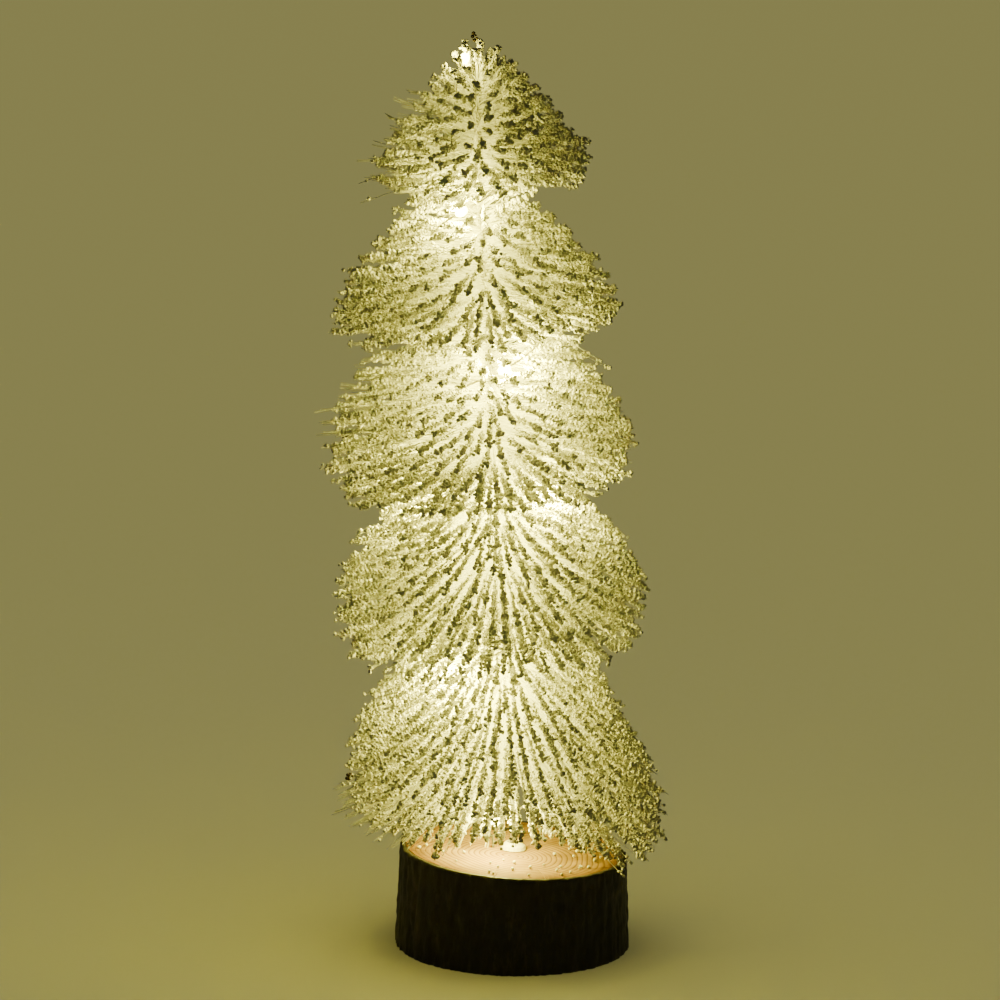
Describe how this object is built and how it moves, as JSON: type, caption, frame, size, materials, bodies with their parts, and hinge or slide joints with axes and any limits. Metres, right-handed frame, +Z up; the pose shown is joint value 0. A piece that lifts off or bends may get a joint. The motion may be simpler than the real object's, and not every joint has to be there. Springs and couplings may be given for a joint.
{
  "type": "artificial tabletop tree",
  "caption": "Small flocked bottle-brush tree in stacked tiers with a wound string of warm lights, standing on a slice of log that holds its battery case.",
  "frame": {"origin": "centre of the log's flat underside, where it meets the table; the closed battery cover is flush with it there", "axes": "+Z up, the tree's height; -Y the front; +X to the right seen from the front. The tree leans about 3.75 degrees towards -X"},
  "size_m": [0.1193, 0.1092, 0.3187],
  "materials": {
    "birch_wood": "sawn end grain with growth rings, dry and matte",
    "dark_bark": "rough near-black bark with upright furrows",
    "steel": "bright plated wire and sheet",
    "hot_glue": "milky hot-melt glue",
    "flocked_bristles": "clear straight filaments flocked with white foam granules",
    "enamelled_copper": "copper wire under clear enamel",
    "warm_light": "clear droplet round a lit warm-white chip",
    "black_insulation": "soft matte insulation",
    "red_insulation": "soft matte insulation",
    "black_plastic": "moulded, fine spark-eroded texture",
    "white_plastic": "moulded, smooth",
    "cell_jacket": "printed sleeve over a steel can, no lettering",
    "board_laminate": "green solder mask",
    "resistor_enamel": "glossy enamel with colour bands"
  },
  "bodies": {
    "base": {"log_core": "birch_wood", "log_bark": "dark_bark", "stem_wire_a": "steel", "stem_wire_b": "steel", "case_screw_1": "steel", "case_screw_2": "steel", "contact_spring_1": "steel", "contact_spring_2": "steel", "contact_plate_positive": "steel", "contact_plate_negative": "steel", "contact_bridge_plate": "steel", "stem_glue": "hot_glue", "bristle_tier_1": "flocked_bristles", "bristle_tier_2": "flocked_bristles", "bristle_tier_3": "flocked_bristles", "bristle_tier_4": "flocked_bristles", "bristle_tier_5": "flocked_bristles", "light_string_wire": "enamelled_copper", "led_1": "warm_light", "led_2": "warm_light", "led_3": "warm_light", "led_4": "warm_light", "led_5": "warm_light", "led_6": "warm_light", "led_7": "warm_light", "light_lead_negative": "black_insulation", "battery_lead_negative": "black_insulation", "wire_joint_sleeve": "black_insulation", "light_lead_positive": "red_insulation", "battery_lead_positive": "red_insulation", "battery_tray": "black_plastic", "switch_housing": "black_plastic", "circuit_board": "board_laminate", "resistor": "resistor_enamel"},
    "battery_cover": {"battery_cover": "black_plastic"},
    "cover_screw": {"cover_screw": "steel"},
    "battery_1": {"battery_1": "cell_jacket"},
    "battery_2": {"battery_2": "cell_jacket"},
    "switch_knob": {"switch_knob": "white_plastic"}
  },
  "joints": [
    {"name": "battery_cover_lift", "type": "slide", "parent": "base", "child": "battery_cover", "axis": [0, 0, -1], "range_m": [0, 0.06]},
    {"name": "cover_screw_turn", "type": "hinge", "parent": "battery_cover", "child": "cover_screw", "pos_m": [-0.019, 0.0109, 0], "axis": [0, 0, 1], "continuous": true},
    {"name": "battery_1_out", "type": "slide", "parent": "base", "child": "battery_1", "axis": [0, 0, -1], "range_m": [0, 0.036]},
    {"name": "battery_2_out", "type": "slide", "parent": "base", "child": "battery_2", "axis": [0, 0, -1], "range_m": [0, 0.036]},
    {"name": "switch_slide", "type": "slide", "parent": "base", "child": "switch_knob", "axis": [1, 0, 0], "range_m": [0, 0.003]}
  ],
  "couplings": [
    {"joint": "battery_1_out", "follows": "battery_cover_lift", "ratio": 0.6},
    {"joint": "battery_2_out", "follows": "battery_cover_lift", "ratio": 0.6}
  ]
}
